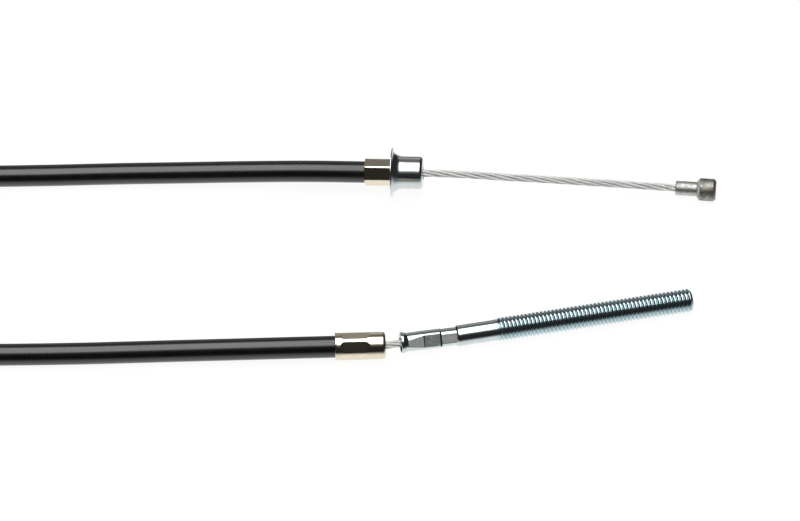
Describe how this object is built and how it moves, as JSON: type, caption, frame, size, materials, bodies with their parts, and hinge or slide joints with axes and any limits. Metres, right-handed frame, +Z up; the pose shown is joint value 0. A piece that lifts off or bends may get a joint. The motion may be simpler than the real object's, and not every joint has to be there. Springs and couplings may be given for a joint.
{
  "type": "moped drum brake cable",
  "caption": "Black sheathed brake cable with a flanged cap and cast nipple at one end and a pressed threaded adjusting rod at the other, its middle tied in a coil.",
  "frame": {"origin": "on the surface the cable lies on, under the middle of its bounding box", "axes": "+X from the coil along the two runs towards the nipple and the rod, +Y from the rod's run towards the nipple's run, +Z up"},
  "size_m": [0.2592, 0.0726, 0.0173],
  "materials": {
    "jacket": "smooth extruded black plastic, semi-gloss",
    "spiral": "wound flat steel wire",
    "liner": "smooth low-friction plastic",
    "tie": "moulded nylon",
    "ferrule": "bright nickel, slightly warm, crimped",
    "cap": "bright zinc, turned",
    "wire": "galvanised stranded steel",
    "nipple": "rough die-cast zinc",
    "rod": "clear blue zinc over rolled and pressed steel"
  },
  "bodies": {
    "casing": {"jacket_upper_run": "jacket", "jacket_lower_run": "jacket", "casing_coil": "jacket", "spiral_upper_run": "spiral", "spiral_lower_run": "spiral", "liner_upper_run": "liner", "liner_lower_run": "liner", "coil_tie_1": "tie", "coil_tie_2": "tie", "coil_tie_3": "tie", "upper_ferrule": "ferrule", "lower_ferrule": "ferrule", "flanged_cap": "cap"},
    "rod_end": {"inner_wire_lower": "wire", "threaded_rod": "rod"},
    "nipple_end": {"inner_wire_upper": "wire", "nipple": "nipple"}
  },
  "joints": [
    {"name": "rod_slide", "type": "slide", "parent": "casing", "child": "rod_end", "axis": [0.9996, 0.026, 0.0118], "range_m": [-0.003, 0.0645]},
    {"name": "nipple_slide", "type": "slide", "parent": "casing", "child": "nipple_end", "axis": [0.998, -0.0247, -0.0584], "range_m": [-0.0645, 0.003], "deforming": ["inner_wire_upper"]}
  ],
  "couplings": [
    {"joint": "nipple_slide", "follows": "rod_slide", "ratio": -1}
  ]
}
